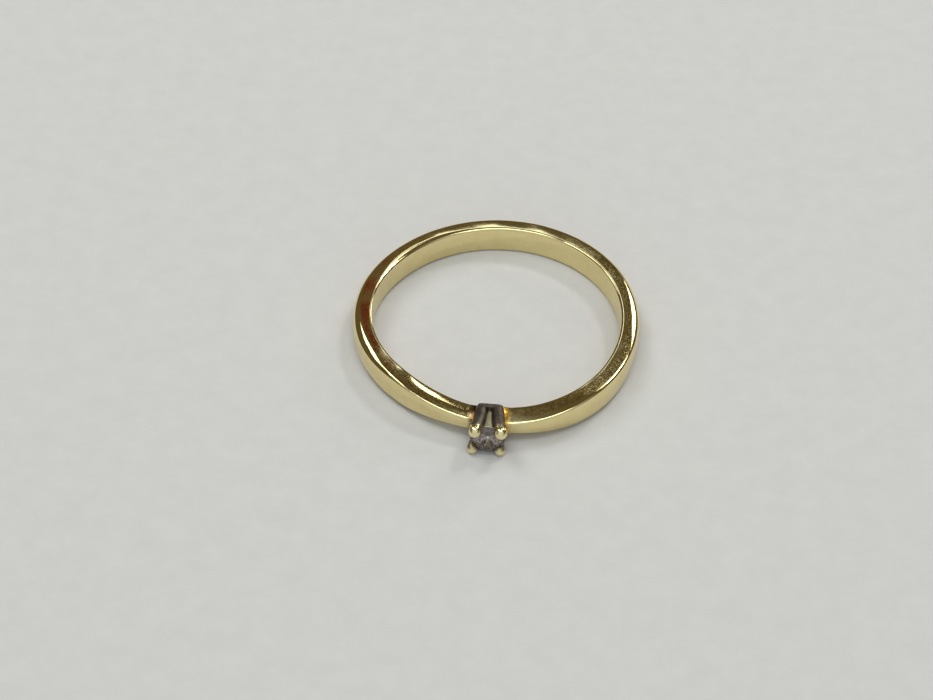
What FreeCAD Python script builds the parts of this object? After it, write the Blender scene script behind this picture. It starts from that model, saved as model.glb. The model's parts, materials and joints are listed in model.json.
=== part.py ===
import FreeCAD, Part

import math
import os

# An engagement ring with one small round brilliant held by four claws.
# Millimetres. The origin is the centre of the finger bore and +Z is the bore's axis.
# The head points along -Y, so "out" below means the distance from the origin towards -Y.

# Shank: a plain band, opened where the head stands
BORE_RADIUS = 8.5
SHANK_THICKNESS = 1.3
SHANK_WIDTH = 2.1
CORNER_RADIUS = 0.5
BORE_BEVEL = 0.1
OUTER_CROWN = 0.03

# Shoulders: both side faces curve inward towards the head, and the arc is straight across X
SHOULDER_ARC_RADIUS = 13.5
SHOULDER_ARC_TOP_OUT = 5.6
SHOULDER_ARC_RISE = 0.02

# Head: a base plate, a hollow gallery under the stone and four claws
BASE_HALF_X = 0.88
BASE_HALF_Z = 0.93
BASE_CORNER = 0.25
BASE_THICKNESS = 0.32
LIGHT_HOLE_RADIUS = 0.36
GALLERY_FOOT_RADIUS = 0.62
GALLERY_TOP_RADIUS = 0.88
GALLERY_TOP_OUT = 10.5
CLAW_FOOT_X = 0.57
CLAW_FOOT_Z = 0.56
CLAW_TIP_X = 0.84
CLAW_TIP_Z = 0.82
CLAW_TIP_OUT = 10.98
CLAW_FOOT_RADIUS = 0.39
CLAW_TIP_RADIUS = 0.42
CLAW_ROOT = 0.5

# Stone: a 57-facet round brilliant, standard proportions
STONE_RADIUS = 1.15
GIRDLE_OUT = 10.85
TABLE_RATIO = 0.57
CROWN_HEIGHT = 0.33
GIRDLE_THICKNESS = 0.07
PAVILION_DEPTH = 0.96
STAR_RATIO = 0.78
LOWER_HALF_RATIO = 0.3

# Solder between the shank's ends and the head
SOLDER_FILM = 0.04
SOLDER_FILM_SET_BACK = 0.1
SOLDER_FILLET_RADIUS = 0.36
SOLDER_FILLET_RISE = 0.16
SOLDER_FILLET_SET_BACK = 0.12
SOLDER_SKIN = 0.02

# Room around the model for cutting tools
FAR = 12.0
TAPER_OVERRUN = 0.8

BASE_OUT = BORE_RADIUS + BASE_THICKNESS
OUTER_RADIUS = BORE_RADIUS + SHANK_THICKNESS
HALF_WIDTH = SHANK_WIDTH / 2
GAP_HALF = BASE_HALF_X + SOLDER_FILM
SIDES = {"left": -1, "right": 1}
LEVELS = {"upper": 1, "lower": -1}

Vector = FreeCAD.Vector


def at(x, out, z):
    """A point given by its distance out along the head's axis."""
    return Vector(x, -out, z)


def box(x0, x1, out0, out1, z0, z1):
    """A block between two values on each axis."""
    return Part.makeBox(x1 - x0, out1 - out0, z1 - z0, at(x0, out1, z0))


def shank_section():
    """The band's section on the +X side: bore, bevels, side faces, round corners, crown."""
    inner = BORE_RADIUS
    bevel = inner + BORE_BEVEL
    shoulder = OUTER_RADIUS - OUTER_CROWN
    flat_end = shoulder - CORNER_RADIUS
    half = HALF_WIDTH
    bore_half = half - BORE_BEVEL
    crown_half = half - CORNER_RADIUS
    diagonal = CORNER_RADIUS * math.sqrt(0.5)
    middle_r = flat_end + diagonal
    middle_z = crown_half + diagonal
    bore_face = Part.LineSegment(Vector(inner, 0, -bore_half), Vector(inner, 0, bore_half))
    top_bevel = Part.LineSegment(Vector(inner, 0, bore_half), Vector(bevel, 0, half))
    top_face = Part.LineSegment(Vector(bevel, 0, half), Vector(flat_end, 0, half))
    top_round = Part.Arc(
        Vector(flat_end, 0, half), Vector(middle_r, 0, middle_z), Vector(shoulder, 0, crown_half)
    )
    crown = Part.Arc(
        Vector(shoulder, 0, crown_half), Vector(OUTER_RADIUS, 0, 0), Vector(shoulder, 0, -crown_half)
    )
    low_round = Part.Arc(
        Vector(shoulder, 0, -crown_half), Vector(middle_r, 0, -middle_z), Vector(flat_end, 0, -half)
    )
    low_face = Part.LineSegment(Vector(flat_end, 0, -half), Vector(bevel, 0, -half))
    low_bevel = Part.LineSegment(Vector(bevel, 0, -half), Vector(inner, 0, -bore_half))
    curves = [bore_face, top_bevel, top_face, top_round, crown, low_round, low_face, low_bevel]
    return Part.Face(Part.Wire([curve.toShape() for curve in curves]))


def shoulder_height(out):
    """Half the band's width at a distance out, beyond the start of the taper."""
    run = out - SHOULDER_ARC_TOP_OUT
    drop = SHOULDER_ARC_RADIUS - math.sqrt(SHOULDER_ARC_RADIUS**2 - run**2)
    return HALF_WIDTH + SHOULDER_ARC_RISE - drop


def shoulder_cutter(level):
    """The metal filed off one side of the shoulders: an arc carried straight across X."""
    end = OUTER_RADIUS + TAPER_OVERRUN
    middle = (SHOULDER_ARC_TOP_OUT + end) / 2
    low = at(-FAR, SHOULDER_ARC_TOP_OUT, level * shoulder_height(SHOULDER_ARC_TOP_OUT))
    mid = at(-FAR, middle, level * shoulder_height(middle))
    high = at(-FAR, end, level * shoulder_height(end))
    far_high = at(-FAR, end, level * SHANK_WIDTH)
    far_low = at(-FAR, SHOULDER_ARC_TOP_OUT, level * SHANK_WIDTH)
    edges = [
        Part.Arc(low, mid, high).toShape(),
        Part.LineSegment(high, far_high).toShape(),
        Part.LineSegment(far_high, far_low).toShape(),
        Part.LineSegment(far_low, low).toShape(),
    ]
    return Part.Face(Part.Wire(edges)).extrude(Vector(2 * FAR, 0, 0))


def whole_band():
    """The band with its filed shoulders, before it is opened for the head."""
    band = shank_section().revolve(Vector(0, 0, 0), Vector(0, 0, 1), 360)
    for level in LEVELS.values():
        band = band.cut(shoulder_cutter(level))
    return band


def claw_bar(side, level, extra=0.0):
    """One claw as a slightly flaring round wire with a domed tip, cut flat where it stands."""
    foot = at(side * CLAW_FOOT_X, BASE_OUT, level * CLAW_FOOT_Z)
    tip = at(side * CLAW_TIP_X, CLAW_TIP_OUT, level * CLAW_TIP_Z)
    length = (tip - foot).Length
    flare = (CLAW_TIP_RADIUS - CLAW_FOOT_RADIUS) / length
    root_radius = CLAW_FOOT_RADIUS - flare * CLAW_ROOT + extra
    radius = CLAW_TIP_RADIUS + extra
    root_centre = Vector(0, 0, -CLAW_ROOT)
    root_edge = Vector(root_radius, 0, -CLAW_ROOT)
    dome_edge = Vector(radius, 0, length)
    dome_middle = Vector(radius * math.sqrt(0.5), 0, length + radius * math.sqrt(0.5))
    dome_top = Vector(0, 0, length + radius)
    edges = [
        Part.LineSegment(root_centre, root_edge).toShape(),
        Part.LineSegment(root_edge, dome_edge).toShape(),
        Part.Arc(dome_edge, dome_middle, dome_top).toShape(),
        Part.LineSegment(dome_top, root_centre).toShape(),
    ]
    wire = Part.Face(Part.Wire(edges)).revolve(Vector(0, 0, 0), Vector(0, 0, 1), 360)
    wire.Placement = FreeCAD.Placement(foot, FreeCAD.Rotation(Vector(0, 0, 1), tip - foot))
    keep = box(-FAR, FAR, BASE_OUT, FAR, -FAR, FAR)
    return wire.common(keep)


def brilliant():
    """A round brilliant with its table facing out: 33 crown and 24 pavilion facets."""
    table_radius = TABLE_RATIO * STONE_RADIUS
    table_out = GIRDLE_OUT + CROWN_HEIGHT
    low_girdle = GIRDLE_OUT - GIRDLE_THICKNESS
    culet_out = low_girdle - PAVILION_DEPTH
    eighth = math.pi / 4
    half_cos = math.cos(eighth / 2)

    def point(radius, out, angle):
        return at(radius * math.cos(angle), out, radius * math.sin(angle))

    star_radius = STAR_RATIO * STONE_RADIUS
    slope = CROWN_HEIGHT / (STONE_RADIUS - table_radius)
    star_out = table_out - slope * (star_radius * half_cos - table_radius)
    lower_radius = LOWER_HALF_RATIO * STONE_RADIUS
    lower_out = culet_out + PAVILION_DEPTH * lower_radius * half_cos / STONE_RADIUS
    table = [point(table_radius, table_out, k * eighth) for k in range(8)]
    stars = [point(star_radius, star_out, (k + 0.5) * eighth) for k in range(8)]
    upper = [point(STONE_RADIUS, GIRDLE_OUT, k * eighth / 2) for k in range(16)]
    lower = [point(STONE_RADIUS, low_girdle, k * eighth / 2) for k in range(16)]
    halves = [point(lower_radius, lower_out, (k + 0.5) * eighth) for k in range(8)]
    culet = at(0, culet_out, 0)
    outlines = [table]
    for k in range(8):
        after = (k + 1) % 8
        kite = 2 * k
        between = 2 * k + 1
        next_kite = (2 * k + 2) % 16
        outlines.append([table[k], table[after], stars[k]])
        outlines.append([table[k], stars[k], upper[kite], stars[k - 1]])
        outlines.append([stars[k], upper[kite], upper[between]])
        outlines.append([stars[k], upper[between], upper[next_kite]])
        outlines.append([upper[kite], upper[between], lower[between], lower[kite]])
        outlines.append([upper[between], upper[next_kite], lower[next_kite], lower[between]])
        outlines.append([halves[k], lower[kite], lower[between]])
        outlines.append([halves[k], lower[between], lower[next_kite]])
        outlines.append([culet, halves[k], lower[kite], halves[k - 1]])
    faces = [Part.Face(Part.makePolygon(outline + outline[:1])) for outline in outlines]
    return Part.makeSolid(Part.makeShell(faces))


def head_base(bore):
    """The plate at the head's foot, curved to the bore, with a light hole through it."""
    block = box(-BASE_HALF_X, BASE_HALF_X, 0, BASE_OUT, -BASE_HALF_Z, BASE_HALF_Z)
    upright = [edge for edge in block.Edges if abs(edge.tangentAt(edge.FirstParameter).y) > 0.9]
    plate = block.makeFillet(BASE_CORNER, upright)
    hole = Part.makeCylinder(LIGHT_HOLE_RADIUS, FAR, at(0, 0, 0), Vector(0, -1, 0))
    return plate.cut(bore).cut(hole)


def head_gallery(claws, stone):
    """The flaring tube between the claws, which carries the stone on its upper rim."""
    height = GALLERY_TOP_OUT - BASE_OUT
    start = at(0, BASE_OUT, 0)
    flare = Part.makeCone(GALLERY_FOOT_RADIUS, GALLERY_TOP_RADIUS, height, start, Vector(0, -1, 0))
    hole = Part.makeCylinder(LIGHT_HOLE_RADIUS, height, start, Vector(0, -1, 0))
    gallery = flare.cut(hole).cut(stone)
    for claw in claws:
        gallery = gallery.cut(claw)
    return gallery


def solder_fillet(side, level):
    """The concave bead of solder between the head and one side face of the shank."""
    inner = GAP_HALF - SOLDER_FILM
    reach = GAP_HALF + SOLDER_FILLET_RADIUS
    start_out = BORE_RADIUS + SOLDER_FILLET_SET_BACK
    end_out = OUTER_RADIUS - SOLDER_FILLET_SET_BACK
    foot = shoulder_height(start_out)
    slope = shoulder_height(end_out) - foot
    length = end_out - start_out
    centre = at(side * reach, start_out, level * (foot + SOLDER_FILLET_RADIUS + SOLDER_SKIN))
    along = at(0, length, level * slope)
    tool = Part.makeCylinder(SOLDER_FILLET_RADIUS, 3 * length, centre - along, along)
    low_x, high_x = sorted([side * inner, side * reach])
    low_z, high_z = sorted([0.0, level * (foot + SOLDER_FILLET_RISE)])
    return box(low_x, high_x, start_out, end_out, low_z, high_z).cut(tool)


def solder_joint(side, band, shank, claws, plate, bore):
    """Everything that the solder fills on one side: the film, the claw sockets and the fillets."""
    low_x, high_x = sorted([side * BASE_HALF_X, side * GAP_HALF])
    film = box(low_x, high_x, 0, OUTER_RADIUS - SOLDER_FILM_SET_BACK, -HALF_WIDTH, HALF_WIDTH)
    sockets = [claw_bar(side, level, SOLDER_FILM) for level in LEVELS.values()]
    low_x, high_x = sorted([side * BASE_HALF_X, side * FAR])
    outside = box(low_x, high_x, 0, FAR, -FAR, FAR)
    inside_band = film.fuse(sockets).common(band).common(outside)
    fillets = [solder_fillet(side, level) for level in LEVELS.values()]
    solder = inside_band.fuse(fillets)
    for neighbour in [shank, plate, bore] + claws:
        solder = solder.cut(neighbour)
    return biggest(solder)


def biggest(shape):
    """The largest solid of a shape, which leaves out slivers from cutting."""
    return max(shape.Solids, key=lambda solid: solid.Volume)


def build():
    """All pieces of the ring by node name."""
    bore = Part.makeCylinder(BORE_RADIUS, 2 * FAR, Vector(0, 0, -FAR))
    stone = brilliant()
    bars = {}
    for level_name, level in LEVELS.items():
        for side_name, side in SIDES.items():
            bars["claw_%s_%s" % (level_name, side_name)] = claw_bar(side, level).cut(stone)
    claws = list(bars.values())
    band = whole_band()
    gap = box(-GAP_HALF, GAP_HALF, 0, FAR, -FAR, FAR)
    sockets = [claw_bar(side, level, SOLDER_FILM) for side in SIDES.values() for level in LEVELS.values()]
    shank = biggest(band.cut(gap).cut(sockets[0].fuse(sockets[1:])))
    plate = head_base(bore)
    pieces = {
        "shank": shank,
        "head_base": plate,
        "head_gallery": biggest(head_gallery(claws, stone)),
        "diamond": stone,
    }
    pieces.update(bars)
    for side_name, side in SIDES.items():
        pieces["solder_joint_" + side_name] = solder_joint(side, band, shank, claws, plate, bore)
    return pieces


def report(name, shape):
    """One line on a piece's size, so that a bad cut is seen at once."""
    size = shape.BoundBox
    print(
        "%-20s %d solid, valid %s, %.4f mm3, x %.3f..%.3f y %.3f..%.3f z %.3f..%.3f"
        % (name, len(shape.Solids), shape.isValid(), shape.Volume,
           size.XMin, size.XMax, size.YMin, size.YMax, size.ZMin, size.ZMax)
    )


os.makedirs("parts", exist_ok=True)
for node, solid in build().items():
    report(node, solid)
    solid.exportStep("parts/" + node + ".step")
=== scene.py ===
import json
import math

import bpy
import numpy as np
from mathutils import Matrix, Vector


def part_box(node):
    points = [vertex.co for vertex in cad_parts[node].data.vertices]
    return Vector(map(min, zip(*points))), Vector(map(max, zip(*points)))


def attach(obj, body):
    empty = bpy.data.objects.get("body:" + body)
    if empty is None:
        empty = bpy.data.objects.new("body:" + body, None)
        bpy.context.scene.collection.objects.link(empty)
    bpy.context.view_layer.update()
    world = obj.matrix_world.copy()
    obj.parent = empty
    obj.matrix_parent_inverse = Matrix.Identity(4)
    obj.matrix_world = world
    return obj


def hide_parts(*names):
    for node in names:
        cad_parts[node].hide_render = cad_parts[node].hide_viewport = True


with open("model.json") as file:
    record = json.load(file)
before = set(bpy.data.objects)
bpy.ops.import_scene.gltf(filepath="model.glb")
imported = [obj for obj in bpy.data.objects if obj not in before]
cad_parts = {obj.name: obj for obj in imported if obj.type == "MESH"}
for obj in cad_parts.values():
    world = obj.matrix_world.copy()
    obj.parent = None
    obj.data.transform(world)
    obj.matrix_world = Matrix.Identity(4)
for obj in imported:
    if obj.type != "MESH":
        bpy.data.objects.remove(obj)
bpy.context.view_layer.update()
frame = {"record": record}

# Sizes are in millimetres, and MM turns them into metres. The frame is the CAD's:
# origin at the bore's centre, +Z along the bore, the head towards -Y. "Out" is the distance
# towards -Y, and "turn" is the angle round the band from the head towards +X.
MM = 0.001
TAU = 2 * math.pi

# The band, from the CAD box of the shank and the record's bore
BORE = frame["record"]["mounts"][0]["dims"]["r_mm"]
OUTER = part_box("shank")[1].x / MM
HALF_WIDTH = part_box("shank")[1].z / MM
MIDDLE = (BORE + OUTER) / 2
OUTER_CROWN = 0.03
OUTER_CROWN_HALF = 0.55
# How far wear has rounded the band's edges, at turns in degrees round the ring
EDGE_WEAR = [
    # turn, outer corner's width and height, bore edge's width and height, crown, ridge
    (0, 0.16, 0.16, 0.14, 0.14, 0.003, 0),
    (68, 0.2, 0.2, 0.14, 0.14, 0.003, 0),
    (92, 0.85, 0.5, 0.14, 0.14, 0.003, 0),
    (125, 0.55, 0.45, 0.14, 0.14, 0.003, 0),
    (180, 0.42, 0.42, 0.2, 0.14, 0.008, 0),
    (232, 0.42, 0.42, 0.45, 0.14, 0.01, 0),
    (262, 0.36, 0.4, 0.12, 0.12, 0.003, 0),
    (294, 0.8, 0.42, 0.12, 0.12, 0.004, 0.6),
    (318, 0.3, 0.3, 0.14, 0.12, 0.004, 1),
    (360, 0.16, 0.16, 0.14, 0.12, 0.004, 1),
]
SHOULDER_ARC_RADIUS = 13.5
SHOULDER_ARC_TOP_OUT = 5.6
SHOULDER_ARC_RISE = 0.02
SHOULDER_EDGE_ROUND = 0.09
SHOULDER_START_ROUND = 0.12
BAND_END_TURN = math.radians(5.5)
BAND_STEPS = 1100
SECTION_STEPS = 176
LONGEST_REACH = 1.8
HALVINGS = 30
# On the left shoulder the filed face is worn into a low crown that runs along the band
RIDGE_RADIUS = 9.27
RIDGE_CROWN = 0.055
RIDGE_ROUND = 0.05
RIDGE_CLEARANCE = 0.3
# A worn ring is slightly out of round: three shallow lobes and a fainter set of four
THREE_LOBES = 0.145
FOUR_LOBES = 0.046

# The head. Its outer sizes come from the CAD boxes of its pieces
STONE_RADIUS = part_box("diamond")[1].x / MM
TABLE_OUT = -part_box("diamond")[0].y / MM
CULET_OUT = -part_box("diamond")[1].y / MM
BASE_HALF_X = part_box("head_base")[1].x / MM
BASE_HALF_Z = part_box("head_base")[1].z / MM
BASE_OUT = -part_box("head_base")[0].y / MM
LIGHT_HOLE = 0.36
CLAW_FOOT_RADIUS = 0.43
CLAW_TIP_RADIUS = 0.42
CLAW_TIP_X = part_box("claw_upper_right")[1].x / MM - CLAW_TIP_RADIUS
CLAW_TIP_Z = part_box("claw_upper_right")[1].z / MM - CLAW_TIP_RADIUS
CLAW_TIP_OUT = -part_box("claw_upper_right")[0].y / MM - CLAW_TIP_RADIUS
CLAW_FOOT_X = 0.53
CLAW_FOOT_Z = 0.56
CLAW_NECK_RADIUS = 0.46
CLAW_SPLAY = 0.07
UPPER_BEAD = 0.43
LOWER_BEAD = 0.36
# The lower left claw has been knocked a little outwards
BENT_CLAW = 0.13
CLAW_SIDES = 56
CLAW_STEPS = 48
CLAW_DOME_STEPS = 28
HEAD_SIDES = 96
BASE_SQUARENESS = 5.0
# The base plate's edge rounding: millimetres inwards, and the same share of the plate's thickness
BASE_EDGE = 0.04
# The gallery's turned section: radius and out at each corner
GALLERY_PROFILE = [
    (LIGHT_HOLE, BASE_OUT),
    (0.6, BASE_OUT),
    (0.64, BASE_OUT + 0.1),
    (0.86, 10.4),
    (0.88, 10.47),
    (0.85, 10.52),
    (0.78, 10.5),
    (LIGHT_HOLE, 10.02),
]
# The stone's heights, and its circles of corners as shares of its radius
CROWN_HEIGHT = 0.33
GIRDLE_THICKNESS = 0.07
TABLE_SHARE = 0.57
STAR_SHARE = 0.78
LOWER_HALF_SHARE = 0.3

# The solder collars, which run from the claws' feet a little way along the shank
SOLDER_START_TURN = math.radians(5.6)
SOLDER_TURN = math.radians(4.6)
SOLDER_RISE = 0.1
SOLDER_LIFT = 0.006
SOLDER_SINK = 0.01
SOLDER_FULL_X = 1.05
SOLDER_RAGGEDNESS = 0.14
SOLDER_END_X = MIDDLE * math.sin(SOLDER_START_TURN + SOLDER_TURN)

# Colours of bare metal, as it reflects white
GOLD = (0.88, 0.76, 0.41, 1)
DEEP_GOLD = (0.84, 0.71, 0.36, 1)
TARNISHED_GOLD = (0.5, 0.39, 0.17, 1)
SOLDERS = {
    # The left pair is far darker than the right: painted shade on the left collar, between the shank's end
    # and the claws.
    "left": ((0.22, 0.12, 0.04, 1), (0.07, 0.035, 0.03, 1)),
    "right": ((0.74, 0.45, 0.08, 1), (0.5, 0.27, 0.045, 1)),
}

WORN_TIP_GOLD = (0.9, 0.78, 0.45, 1)
PLATED = ((0.098, 0.08, 0.066, 1), (0.17, 0.148, 0.118, 1))
# Lighter and yellower plate for the gallery: painted light in the groove between the claws.
LIT_GALLERY_PLATE = ((0.5, 0.47, 0.32, 1), (0.64, 0.6, 0.41, 1))

# Where the side faces are rubbed: angles in radians from +Y towards +X, and distances in from
# the bore and from the outer wall
RUBBED_START = (0.2, 0.8)
RUBBED_END = (-2.1, -1.7)
RUBBED_FROM_BORE = (0.2, 0.4)
RUBBED_FROM_OUTER = (0.35, 0.22)

# The camera stands in front of the head and looks down at the ring
CAMERA_ELEVATION = math.radians(45.17)
CAMERA_TURN = math.radians(2.55)
CAMERA_ROLL = math.radians(2.47)
CAMERA_DISTANCE = 150.0
CAMERA_ASIDE = 2.179
CAMERA_BELOW = 1.837
CAMERA_LENS = 84.4

# Lamps round the ring. Azimuth runs from +Y towards +X; angles in degrees, radiance relative to
# white. All of them light the paper, and most stand where the metal mirrors them as a highlight.
LAMP_DISTANCE = 1000.0
LAMPS = [
    # name, azimuth, elevation, width, height, radiance, colour
    ("far_window", -1.2, 45.2, 3.4, 3.8, 1.75, (0.84, 0.93, 1.0)),
    ("shoulder_window", 11.4, 50, 6.6, 6.6, 3.4, (1.0, 0.99, 0.95)),
    ("right_window", 33, 25, 15, 18, 4.0, (1.0, 1.0, 0.95)),
    ("side_window", 50, 52, 8, 8, 2.6, (1.0, 0.99, 0.95)),
    ("left_window", -50, 47, 22, 8, 4.5, (1.0, 0.99, 0.97)),
    ("spot_right", 34, 50, 8, 8, 21.0, (1.0, 0.99, 0.97)),
    ("high_lamp_left", -64, 61, 18, 18, 4.0, (1.0, 0.99, 0.97)),
    ("top_lamp", 180, 86, 34, 20, 2.7, (1.0, 0.99, 0.98)),
]
ROOM_COLOUR = (0.105, 0.084, 0.045, 1)
ROOM_AREAS = [
    # azimuth, elevation, inner and outer half angle, colour, painted one over another; the last
    # is mirrored as a red patch on the band's left side face
    (180, 40, 25, 72, (0.62, 0.66, 0.68, 1)),
    (-7, 44, 1, 5, (0.125, 0.084, 0.044, 1)),
    (-6.8, 45.0, 0.8, 1.7, (0.11, 0.016, 0.008, 1)),
]


def bend(turn):
    """How far the worn band stands outside a true circle."""
    return THREE_LOBES * np.sin(3 * turn) + FOUR_LOBES * np.sin(4 * turn)


def smooth_step(value, low, high):
    """0 below low, 1 above high, smooth between."""
    part = np.clip((value - low) / (high - low), 0, 1)
    return part * part * (3 - 2 * part)


def mesh_object(name, points, faces, material, smooth=True):
    """A mesh object from points in millimetres."""
    mesh = bpy.data.meshes.new(name)
    mesh.from_pydata((np.asarray(points) * MM).tolist(), [], faces)
    mesh.validate()
    mesh.materials.append(material)
    mesh.polygons.foreach_set("use_smooth", [smooth] * len(mesh.polygons))
    piece = bpy.data.objects.new(name, mesh)
    bpy.context.scene.collection.objects.link(piece)
    return piece


def grid_faces(rows, columns, wrap_rows=False):
    """Quads of a grid of points whose index is row * columns + column, closed across columns."""
    faces = []
    for row in range(rows if wrap_rows else rows - 1):
        start = row * columns
        under = (row + 1) % rows * columns
        for column in range(columns):
            after = (column + 1) % columns
            faces.append((start + column, under + column, under + after, start + after))
    return faces


def capped_tube(points):
    """Points and faces of a tube of rings, closed at both ends with a fan."""
    rings, count, _ = points.shape
    faces = grid_faces(rings, count)
    first = rings * count
    last_ring = first - count
    for step in range(count):
        after = (step + 1) % count
        faces.append((first, step, after))
        faces.append((first + 1, last_ring + after, last_ring + step))
    ends = np.stack([points[0].mean(0), points[-1].mean(0)])
    return np.concatenate([points.reshape(-1, 3), ends]), faces


def install(piece, node):
    """The piece stands for a CAD node and rides on the ring's only body."""
    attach(piece, "root")
    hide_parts(node)
    return piece


# ---------------------------------------------------------------- materials

class Nodes:
    """Short calls for building a node tree."""

    def __init__(self, tree):
        self.tree = tree
        self.tree.nodes.clear()

    def add(self, kind, inputs, **settings):
        """A node with its properties set, and its inputs linked or set by name or number."""
        node = self.tree.nodes.new(kind)
        for key, value in settings.items():
            setattr(node, key, value)
        for key, value in inputs.items():
            if isinstance(value, bpy.types.NodeSocket):
                self.tree.links.new(value, node.inputs[key])
            else:
                node.inputs[key].default_value = value
        return node

    def math(self, operation, a, b=0.0):
        return self.add("ShaderNodeMath", {0: a, 1: b}, operation=operation).outputs[0]

    def blend(self, factor, a, b):
        return self.add("ShaderNodeMix", {0: factor, 6: a, 7: b}, data_type="RGBA").outputs[2]

    def span(self, value, low, high, to_low=0.0, to_high=1.0, shape="LINEAR"):
        """value from low..high to to_low..to_high, clamped."""
        inputs = {0: value, 1: low, 2: high, 3: to_low, 4: to_high}
        return self.add("ShaderNodeMapRange", inputs, interpolation_type=shape).outputs[0]

    def noise(self, vector, scale, detail=2.0, roughness=0.5):
        inputs = {"Vector": vector, "Scale": scale, "Detail": detail, "Roughness": roughness}
        return self.add("ShaderNodeTexNoise", inputs).outputs[0]

    def stretch(self, vector, scale, rotation=(0.0, 0.0, 0.0)):
        inputs = {"Vector": vector, "Scale": scale, "Rotation": rotation}
        return self.add("ShaderNodeMapping", inputs).outputs[0]

    def bump(self, height, depth):
        """A surface normal from a height of 0..1, in millimetres of depth."""
        inputs = {"Strength": 1.0, "Distance": depth * MM, "Height": height}
        return self.add("ShaderNodeBump", inputs).outputs[0]

    def place(self):
        """The point on the object, in millimetres."""
        here = self.add("ShaderNodeTexCoord", {}).outputs["Object"]
        return self.stretch(here, (1 / MM, 1 / MM, 1 / MM))

    def surface(self, inputs):
        shader = self.add("ShaderNodeBsdfPrincipled", inputs)
        self.add("ShaderNodeOutputMaterial", {"Surface": shader.outputs[0]})


def new_material(name):
    material = bpy.data.materials.new(name)
    material.use_nodes = True
    return material, Nodes(material.node_tree)


def hairlines(nodes, place, turn, thin):
    """Fine scratches: the middle level of a noise that is drawn out along one direction."""
    drawn = nodes.stretch(place, (0.5, 9.0, 9.0), (0.0, turn, turn))
    away = nodes.math("ABSOLUTE", nodes.math("SUBTRACT", nodes.noise(drawn, 1.0, 3.0, 0.6), 0.5))
    return nodes.span(away, 0.0, thin, 1.0, 0.0)


def gold_material(name, solder=None):
    """Polished gold that has been worn, with solder let into it next to the head."""
    material, nodes = new_material(name)
    here = nodes.place()
    x, y, z = nodes.add("ShaderNodeSeparateXYZ", {"Vector": here}).outputs
    angle = nodes.math("ARCTAN2", x, y)
    squares = nodes.math("ADD", nodes.math("POWER", x, 2.0), nodes.math("POWER", y, 2.0))
    radius = nodes.math("SQRT", squares)
    inputs = {0: nodes.math("MULTIPLY", angle, MIDDLE), 1: radius, 2: z}
    along = nodes.add("ShaderNodeCombineXYZ", inputs).outputs[0]

    # The side faces are rubbed from the right-hand back to the left shoulder: mottled and tarnished
    rubbed = nodes.math("MAXIMUM", nodes.span(angle, *RUBBED_START, shape="SMOOTHSTEP"),
                        nodes.span(angle, *RUBBED_END, 1.0, 0.0, "SMOOTHSTEP"))
    inner, outer = (BORE + away for away in RUBBED_FROM_BORE)
    rubbed = nodes.math("MULTIPLY", rubbed, nodes.span(radius, inner, outer))
    inner, outer = (OUTER - away for away in RUBBED_FROM_OUTER)
    rubbed = nodes.math("MULTIPLY", rubbed, nodes.span(radius, inner, outer, 1.0, 0.0))
    cloud = nodes.noise(along, 0.8, 4.0, 0.6)
    speckle = nodes.noise(along, 3.6, 4.0, 0.65)
    grain = nodes.noise(along, 8.0, 3.0, 0.7)
    tint = nodes.blend(nodes.span(cloud, 0.35, 0.7), GOLD, DEEP_GOLD)
    tarnish = nodes.math("MULTIPLY", nodes.span(speckle, 0.4, 0.62),
                         nodes.span(rubbed, 0.0, 1.0, 0.08, 0.8))
    tint = nodes.blend(tarnish, tint, TARNISHED_GOLD)

    waves = nodes.noise(nodes.stretch(along, (0.6, 1.4, 1.4)), 1.1, 1.0, 0.4)
    lines = nodes.math("MAXIMUM", hairlines(nodes, along, 0.25, 0.02),
                       hairlines(nodes, along, -0.5, 0.015))
    height = nodes.math("MULTIPLY", speckle, nodes.span(rubbed, 0.0, 1.0, 0.02, 0.07))
    height = nodes.math("ADD", height, nodes.math("MULTIPLY", waves, 0.35))
    height = nodes.math("SUBTRACT", height, nodes.math("MULTIPLY", lines, 0.006))
    hazy = nodes.math("MULTIPLY", rubbed, nodes.span(grain, 0.48, 0.66, 0.0, 0.13))
    roughness = nodes.math("ADD", nodes.span(cloud, 0.3, 0.75, 0.05, 0.08), hazy)

    if solder:
        edge = nodes.span(speckle, 0.3, 0.7, -SOLDER_RAGGEDNESS, SOLDER_RAGGEDNESS)
        ragged = nodes.math("ADD", nodes.math("ABSOLUTE", x), edge)
        filled = nodes.span(ragged, SOLDER_FULL_X, SOLDER_END_X - 0.05, 1.0, 0.0, "SMOOTHSTEP")
        tint = nodes.blend(filled, tint, nodes.blend(nodes.span(speckle, 0.4, 0.6), *solder))
        roughness = nodes.math("ADD", roughness, nodes.math("MULTIPLY", filled, 0.2))
    nodes.surface({"Base Color": tint, "Metallic": 1.0, "Roughness": roughness,
                   "Normal": nodes.bump(height, 0.012)})
    return material


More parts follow.
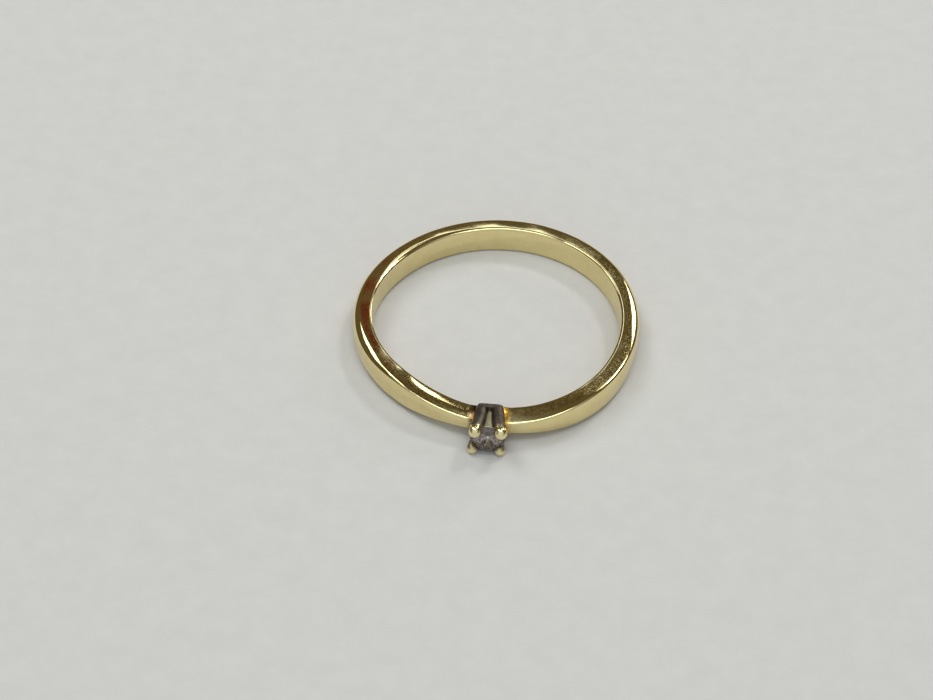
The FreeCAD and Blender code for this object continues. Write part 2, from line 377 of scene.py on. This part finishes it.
def head_material(name, dark, light):
    """Rhodium-plated head: grey and slightly hazy, worn through to gold at the claw tips, with less gold on
    the lower beads as painted shade.
    """
    material, nodes = new_material(name)
    place = nodes.place()
    split = nodes.add("ShaderNodeSeparateXYZ", {"Vector": place}).outputs
    out = nodes.math("MULTIPLY", split[1], -1.0)
    patch = nodes.noise(place, 2.2, 3.0, 0.6)
    edge = nodes.math("ADD", out, nodes.span(patch, 0.3, 0.7, -0.15, 0.15))
    worn = nodes.span(edge, CLAW_TIP_OUT - 0.45, CLAW_TIP_OUT - 0.1, shape="SMOOTHSTEP")
    # On the lower beads the worn gold fades to three tenths towards their back and top: painted shade.
    forward = nodes.math("ADD", split[1], split[2])
    bead_middle = -CLAW_TIP_OUT - CLAW_TIP_Z
    lower_bead_shading = nodes.span(forward, bead_middle - 0.25, bead_middle + 0.2, 1.0, 0.3)
    gold_showing = nodes.math("MAXIMUM", nodes.span(split[2], 0.0, 0.3), lower_bead_shading)
    worn = nodes.math("MULTIPLY", worn, gold_showing)
    colour = nodes.blend(nodes.span(patch, 0.35, 0.65), dark, light)
    colour = nodes.blend(worn, colour, WORN_TIP_GOLD)
    grain = nodes.noise(place, 9.0, 3.0, 0.6)
    hazy = nodes.span(grain, 0.3, 0.7, 0.42, 0.56)
    roughness = nodes.math("SUBTRACT", hazy, nodes.math("MULTIPLY", worn, 0.32))
    nodes.surface({"Base Color": colour, "Metallic": 1.0, "Roughness": roughness,
                   "Normal": nodes.bump(grain, 0.01)})
    return material


def diamond_material():
    """Clear stone, clean on its table; the facets round it are darkened, partly grime and partly painted
    shade.
    """
    material, nodes = new_material("diamond")
    place = nodes.place()
    film = nodes.noise(place, 3.0, 3.0, 0.6)
    split = nodes.add("ShaderNodeSeparateXYZ", {"Vector": place}).outputs
    squares = nodes.math("ADD", nodes.math("POWER", split[0], 2.0), nodes.math("POWER", split[2], 2.0))
    edge = nodes.math("ADD", nodes.math("SQRT", squares), nodes.span(film, 0.3, 0.7, -0.1, 0.1))
    # Beyond about 0.55 mm from the middle the stone darkens: grime and painted shade on the crown facets.
    grime_and_shade = nodes.span(edge, 0.55, 0.8, shape="SMOOTHSTEP")
    roughness = nodes.math("ADD", nodes.span(film, 0.4, 0.7, 0.02, 0.1),
                           nodes.math("MULTIPLY", grime_and_shade, 0.05))
    nodes.surface({"Base Color": nodes.blend(grime_and_shade, (0.92, 0.9, 0.82, 1), (0.12, 0.08, 0.075, 1)),
                   "Roughness": roughness, "IOR": 2.417, "Transmission Weight": 1.0,
                   "Specular Tint": (0.78, 0.65, 0.58, 1)})
    return material


def paper_material():
    """Matt pale paper with faint mottling and fibres."""
    material, nodes = new_material("paper")
    place = nodes.place()
    mottle = nodes.noise(place, 0.6, 5.0, 0.65)
    colour = nodes.blend(nodes.span(mottle, 0.3, 0.7), (0.73, 0.73, 0.72, 1), (0.77, 0.77, 0.76, 1))
    fibre = nodes.noise(nodes.stretch(place, (1.0, 2.2, 1.0), (0.0, 0.0, 0.4)), 3.0, 4.0, 0.7)
    nodes.surface({"Base Color": colour, "Roughness": 0.9, "Specular IOR Level": 0.2,
                   "Normal": nodes.bump(fibre, 0.012)})
    return material


# ---------------------------------------------------------------- the band

def smooth_max(a, b, radius):
    """The larger of two distances, with the edge between them rounded."""
    blend = np.clip(0.5 + 0.5 * (a - b) / radius, 0, 1)
    return b + (a - b) * blend + radius * blend * (1 - blend)


def round_corner(side, wall, height, width):
    """Distance outside a side face and a wall that meet in an elliptical corner."""
    reach = np.hypot(np.maximum(side / height + 1, 0), np.maximum(wall / width + 1, 0))
    return (reach - 1) * height


def edge_wear(turn):
    """The columns of EDGE_WEAR at a turn, eased from one row to the next."""
    turns, *columns = np.array(EDGE_WEAR).T
    place = np.interp(np.degrees(turn), turns, np.arange(len(turns)))
    row = np.minimum(place.astype(int), len(turns) - 2)
    ease = smooth_step(place - row, 0, 1)
    return [column[row] + (column[row + 1] - column[row]) * ease for column in columns]


def shoulder_height(out):
    """Half the band's width where the shoulders taper towards the head."""
    run = np.clip(out - SHOULDER_ARC_TOP_OUT, 0, None)
    arc = np.sqrt(SHOULDER_ARC_RADIUS**2 - run**2)
    return HALF_WIDTH + SHOULDER_ARC_RISE - SHOULDER_ARC_RADIUS + arc


def band_distance(radius, z, turn, wear):
    """Signed distance-like value, negative inside the band's metal."""
    outer_width, outer_height, bore_width, bore_height, side_crown, ridge = wear
    crown = side_crown * ((radius - MIDDLE) / (OUTER - MIDDLE)) ** 2
    side = np.abs(z) - HALF_WIDTH + crown
    filed = np.abs(z) - shoulder_height(radius * np.cos(turn)) + crown
    outer = radius - OUTER + OUTER_CROWN * (z / OUTER_CROWN_HALF) ** 2
    outside = smooth_max(round_corner(side, outer, outer_height, outer_width), filed, SHOULDER_EDGE_ROUND)
    both = smooth_max(side, filed, SHOULDER_START_ROUND)
    ridge_top = np.minimum(shoulder_height(RIDGE_RADIUS * np.cos(turn)), HALF_WIDTH)
    worn = np.abs(z) - ridge_top + RIDGE_CROWN * (radius - RIDGE_RADIUS) ** 2
    worn = worn - RIDGE_CLEARANCE * (1 - ridge)
    both = smooth_max(both, worn, RIDGE_ROUND)
    return np.maximum(outside, round_corner(both, BORE - radius, bore_height, bore_width))


def section_angles(count):
    """Directions round the section, closer together near its corners."""
    even = np.arange(count) / count * TAU
    return even - 0.1 * np.sin(4 * even)


def section_reach(turn, angle):
    """Distance from the section's middle to its surface, found by halving."""
    turn = turn % TAU
    wear = edge_wear(turn)
    low = np.zeros(np.broadcast(turn, angle).shape)
    high = np.full_like(low, LONGEST_REACH)
    for _ in range(HALVINGS):
        reach = (low + high) / 2
        inside = band_distance(MIDDLE + reach * np.cos(angle), reach * np.sin(angle), turn, wear) < 0
        low = np.where(inside, reach, low)
        high = np.where(inside, high, reach)
    return low


def hand_polish(turn, angle):
    """Waves of a micrometre or so that hand polishing and wear leave in the metal."""
    random = np.random.default_rng(7)
    wave = 0.0
    for size in (0.0014, 0.001, 0.0006):
        for _ in range(3):
            round_count = random.integers(4, 26)
            across_count = random.integers(1, 4)
            phase = random.uniform(0, TAU)
            wave = wave + size * np.sin(round_count * turn + across_count * angle + phase)
    return wave


def band_points(turn, angle, raise_by=0.0):
    """Points on the band's surface, out of round and slightly wavy, lifted off it by raise_by."""
    reach = section_reach(turn, angle) + raise_by + hand_polish(turn, angle)
    radius = MIDDLE + reach * np.cos(angle) + bend(turn)
    return np.stack([radius * np.sin(turn), -radius * np.cos(turn), reach * np.sin(angle)], -1)


def make_band(material):
    turn = np.linspace(BAND_END_TURN, TAU - BAND_END_TURN, BAND_STEPS)[:, None]
    points, faces = capped_tube(band_points(turn, section_angles(SECTION_STEPS)[None, :]))
    return install(mesh_object("band", points, faces, material), "shank")


# ---------------------------------------------------------------- the head

def make_claw(node, side, level, material):
    """A stout wire that leans outwards, bows a little inwards and ends in a bead over the stone's edge."""
    bead = UPPER_BEAD if level > 0 else LOWER_BEAD
    foot = np.array([side * CLAW_FOOT_X, 0.05 - BASE_OUT, level * CLAW_FOOT_Z])
    bent = BENT_CLAW if side < 0 and level < 0 else 0.0
    tip = np.array([side * (CLAW_TIP_X + bent), -CLAW_TIP_OUT, level * CLAW_TIP_Z])
    length = np.linalg.norm(tip - foot)
    along = (tip - foot) / length
    sideways = np.cross(along, [0, 0, 1.0])
    sideways /= np.linalg.norm(sideways)
    upward = np.cross(sideways, along)
    dome = np.linspace(0, math.pi / 2, CLAW_DOME_STEPS)[1:-1]
    straight = np.linspace(0, length, CLAW_STEPS)
    neck_radius = CLAW_NECK_RADIUS if level > 0 else bead
    neck = CLAW_FOOT_RADIUS + (neck_radius - CLAW_FOOT_RADIUS) * smooth_step(straight / length, 0.1, 0.7)
    swell = neck + (bead - neck) * smooth_step(straight / length, 0.75, 0.97)
    steps = np.concatenate([straight, length + bead * np.sin(dome)])
    radii = np.concatenate([swell, bead * np.cos(dome)])
    splay = CLAW_SPLAY * np.sin(np.clip(steps / length, 0, 1) * math.pi)
    around = np.arange(CLAW_SIDES) / CLAW_SIDES * TAU
    circle = np.outer(np.cos(around), sideways) + np.outer(np.sin(around), upward)
    rings = []
    for step, radius, inward in zip(steps, radii, splay):
        centre = foot + along * step - np.array([side * inward, 0, 0])
        rings.append(centre + circle * radius)
    points, faces = capped_tube(np.array(rings))
    return install(mesh_object(node + "_wire", points, faces, material), node)


def make_gallery(material):
    """The flaring tube that carries the stone, turned from a closed profile."""
    rings = []
    for step in range(HEAD_SIDES):
        a = step / HEAD_SIDES * TAU
        rings.append([(radius * math.cos(a), -out, radius * math.sin(a)) for radius, out in GALLERY_PROFILE])
    faces = grid_faces(HEAD_SIDES, len(GALLERY_PROFILE), True)
    piece = mesh_object("gallery", np.array(rings).reshape(-1, 3), faces, material, False)
    return install(piece, "head_gallery")


def make_base(material):
    """The plate at the head's foot: a rounded outline round a light hole, curved to the bore."""
    around = (np.arange(HEAD_SIDES) + 0.5) / HEAD_SIDES * TAU
    across = np.abs(np.cos(around) / BASE_HALF_X) ** BASE_SQUARENESS
    upright = np.abs(np.sin(around) / BASE_HALF_Z) ** BASE_SQUARENESS
    rim = (across + upright) ** (-1 / BASE_SQUARENESS)
    hole = np.full(HEAD_SIDES, LIGHT_HOLE)
    inset = rim - BASE_EDGE
    section = ((rim, BASE_EDGE), (rim, 1 - BASE_EDGE), (inset, 1), (hole, 1), (hole, 0), (inset, 0))
    rings = []
    for reach, height in section:
        x = reach * np.cos(around)
        low = np.sqrt(BORE**2 - x**2)
        rings.append(np.stack([x, -(low + (BASE_OUT - low) * height), reach * np.sin(around)], -1))
    faces = grid_faces(len(rings), HEAD_SIDES, True)
    piece = mesh_object("base_plate", np.array(rings).reshape(-1, 3), faces, material, False)
    return install(piece, "head_base")


def make_solder(node, side, material):
    """A low concave collar of solder that runs from the shank to the foot of the claws."""
    reach = np.linspace(0, 1, 32)[:, None]
    turn = side * (SOLDER_START_TURN + reach * SOLDER_TURN)
    angle = section_angles(SECTION_STEPS)[None, :]
    over_faces = np.clip(0.35 + np.abs(np.sin(angle)), 0, 1) * np.clip(1.2 + np.cos(angle), 0, 1)
    rise = SOLDER_RISE * (1 - reach) ** 2.2 * over_faces + SOLDER_LIFT - SOLDER_SINK * reach
    points, faces = capped_tube(band_points(turn, angle, rise))
    return install(mesh_object(node + "_collar", points, faces, material), node)


def make_diamond(material):
    """A round brilliant: 33 crown, 16 girdle and 24 pavilion facets, flat shaded."""
    radius = STONE_RADIUS
    table_radius = TABLE_SHARE * radius
    girdle_out = TABLE_OUT - CROWN_HEIGHT
    low_girdle = girdle_out - GIRDLE_THICKNESS
    depth = low_girdle - CULET_OUT
    half_cos = math.cos(TAU / 16)
    star_radius = STAR_SHARE * radius
    star_slope = (TABLE_OUT - girdle_out) / (radius - table_radius)
    star_out = TABLE_OUT - star_slope * (star_radius * half_cos - table_radius)
    half_radius = LOWER_HALF_SHARE * radius
    half_out = CULET_OUT + depth * half_radius * half_cos / radius
    circles = [
        (8, table_radius, TABLE_OUT, 0.0),
        (8, star_radius, star_out, 0.5),
        (16, radius, girdle_out, 0.0),
        (16, radius, low_girdle, 0.0),
        (8, half_radius, half_out, 0.5),
    ]
    points = []
    starts = []
    for count, size, out, shift in circles:
        starts.append(len(points))
        for step in range(count):
            a = (step + shift) * TAU / count
            points.append((size * math.cos(a), -out, size * math.sin(a)))
    table, star, upper, lower, half = starts
    culet = len(points)
    points.append((0, -CULET_OUT, 0))
    faces = [tuple(range(table, table + 8))]
    for k in range(8):
        after = (k + 1) % 8
        before = (k - 1) % 8
        kite = 2 * k
        between = kite + 1
        next_kite = (kite + 2) % 16
        faces.append((table + k, star + k, table + after))
        faces.append((table + k, star + before, upper + kite, star + k))
        faces.append((star + k, upper + kite, upper + between))
        faces.append((star + k, upper + between, upper + next_kite))
        faces.append((upper + kite, lower + kite, lower + between, upper + between))
        faces.append((upper + between, lower + between, lower + next_kite, upper + next_kite))
        faces.append((lower + kite, half + k, lower + between))
        faces.append((lower + between, half + k, lower + next_kite))
        faces.append((culet, half + k, lower + kite, half + before))
    return install(mesh_object("brilliant", points, faces, material, False), "diamond")


# ---------------------------------------------------------------- studio

def make_floor(material):
    """Paper that the ring rests on, touching the lower claws and the back of the band."""
    size = 400.0
    points = [(-size, -size, 0), (size, -size, 0), (size, size, 0), (-size, size, 0)]
    floor = mesh_object("paper", points, [(0, 1, 2, 3)], material, False)
    claw_drop = CLAW_TIP_Z + LOWER_BEAD - HALF_WIDTH
    floor.rotation_euler = (math.atan2(claw_drop, OUTER + CLAW_TIP_OUT), 0, 0)
    floor.location = Vector((0, OUTER, -HALF_WIDTH)) * MM
    return floor


def make_camera():
    level = math.cos(CAMERA_ELEVATION)
    rise = math.sin(CAMERA_ELEVATION)
    back = Vector((math.sin(CAMERA_TURN) * level, -math.cos(CAMERA_TURN) * level, rise))
    right = (-back).cross(Vector((0, 0, 1))).normalized()
    up = right.cross(-back)
    c = math.cos(CAMERA_ROLL)
    s = math.sin(CAMERA_ROLL)
    right, up = c * right + s * up, c * up - s * right
    camera = bpy.data.objects.new("camera", bpy.data.cameras.new("camera"))
    bpy.context.scene.collection.objects.link(camera)
    place = back * CAMERA_DISTANCE - right * CAMERA_ASIDE - up * CAMERA_BELOW
    camera.matrix_world = Matrix.Translation(place * MM) @ Matrix((right, up, back)).transposed().to_4x4()
    camera.data.lens = CAMERA_LENS
    camera.data.sensor_width = 36.0
    camera.data.clip_start = 0.005
    bpy.context.scene.camera = camera
    return camera


def direction(azimuth, elevation):
    """Unit vector: azimuth in degrees from +Y towards +X, elevation in degrees."""
    a = math.radians(azimuth)
    e = math.radians(elevation)
    return Vector((math.sin(a) * math.cos(e), math.cos(a) * math.cos(e), math.sin(e)))


def make_lamp(name, azimuth, elevation, width, height, radiance, colour):
    """A softbox that looks width by height degrees large from the ring."""
    lamp = bpy.data.lights.new(name, "AREA")
    lamp.shape = "RECTANGLE"
    lamp.size = 2 * LAMP_DISTANCE * MM * math.tan(math.radians(width / 2))
    lamp.size_y = 2 * LAMP_DISTANCE * MM * math.tan(math.radians(height / 2))
    lamp.energy = radiance * math.pi * lamp.size * lamp.size_y
    lamp.color = colour
    holder = bpy.data.objects.new(name, lamp)
    towards = direction(azimuth, elevation)
    holder.location = towards * LAMP_DISTANCE * MM
    holder.rotation_euler = towards.to_track_quat("Z", "Y").to_euler()
    bpy.context.scene.collection.objects.link(holder)
    return holder


def make_room():
    """A dim warm room with soft glows, as the polished metal sees it."""
    world = bpy.data.worlds.new("room")
    bpy.context.scene.world = world
    world.use_nodes = True
    nodes = Nodes(world.node_tree)
    look = nodes.add("ShaderNodeTexCoord", {}).outputs["Generated"]
    seen = ROOM_COLOUR
    for azimuth, elevation, inner, outer, colour in ROOM_AREAS:
        inputs = {0: look, 1: direction(azimuth, elevation)}
        facing = nodes.add("ShaderNodeVectorMath", inputs, operation="DOT_PRODUCT").outputs["Value"]
        amount = nodes.span(facing, math.cos(math.radians(outer)), math.cos(math.radians(inner)),
                            shape="SMOOTHSTEP")
        seen = nodes.blend(amount, seen, colour)
    background = nodes.add("ShaderNodeBackground", {"Color": seen, "Strength": 1.0})
    nodes.add("ShaderNodeOutputWorld", {"Surface": background.outputs[0]})


def main():
    plated = head_material("worn_rhodium", *PLATED)
    # The gallery gets the lighter plate: painted light in the groove between the claws.
    lit_gallery_plate = head_material("rubbed_rhodium", *LIT_GALLERY_PLATE)
    make_band(gold_material("worn_gold"))
    for side_name, side in (("left", -1), ("right", 1)):
        solder = gold_material("solder_" + side_name, SOLDERS[side_name])
        make_solder("solder_joint_" + side_name, side, solder)
    for level_name, level in (("upper", 1), ("lower", -1)):
        for side_name, side in (("left", -1), ("right", 1)):
            make_claw("claw_%s_%s" % (level_name, side_name), side, level, plated)
    make_gallery(lit_gallery_plate)
    make_base(plated)
    make_diamond(diamond_material())
    make_floor(paper_material())
    make_camera()
    for lamp in LAMPS:
        make_lamp(*lamp)
    make_room()
    bpy.context.scene.view_settings.view_transform = "Standard"


main()
